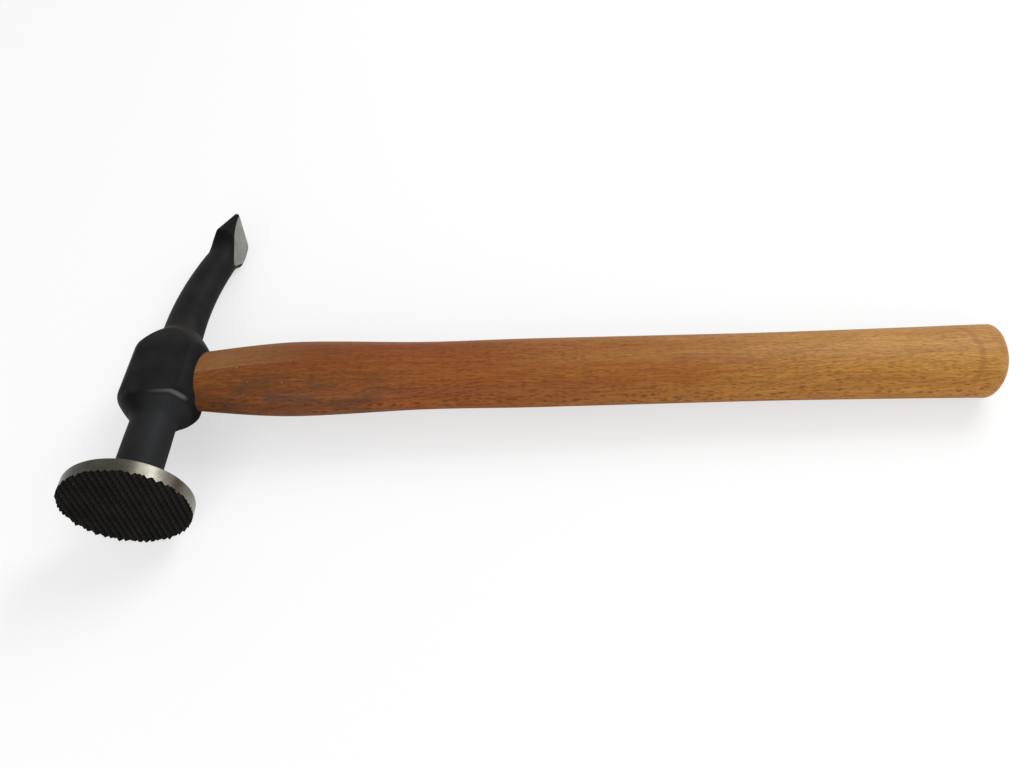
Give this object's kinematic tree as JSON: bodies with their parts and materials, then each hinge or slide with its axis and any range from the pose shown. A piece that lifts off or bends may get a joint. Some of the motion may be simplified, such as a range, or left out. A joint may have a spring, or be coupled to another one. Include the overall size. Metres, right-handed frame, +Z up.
{
  "type": "body hammer",
  "caption": "Body hammer with a serrated round striking face, a short neck, an oval-eyed barrel block, a curved arm with a cross chisel and a wedged beech handle.",
  "frame": {"origin": "centre of the bounding box in plan, at the plane the lying hammer rests on", "axes": "+X along the handle to its butt, +Y along the head towards the chisel, +Z up out of the upper cheek"},
  "size_m": [0.3286, 0.1443, 0.0403],
  "materials": {
    "forged_steel": "near-black semi-matt scale-blacked forging, with ground bright rim and chisel bevel",
    "beech": "semi-gloss lacquered beech with short dark ray flecks",
    "wedge_wood": "plain hardwood, end grain",
    "wedge_steel": "dull plain steel"
  },
  "bodies": {
    "root": {"head": "forged_steel", "handle": "beech", "wood_wedge": "wedge_wood", "steel_wedge": "wedge_steel"}
  },
  "joints": []
}
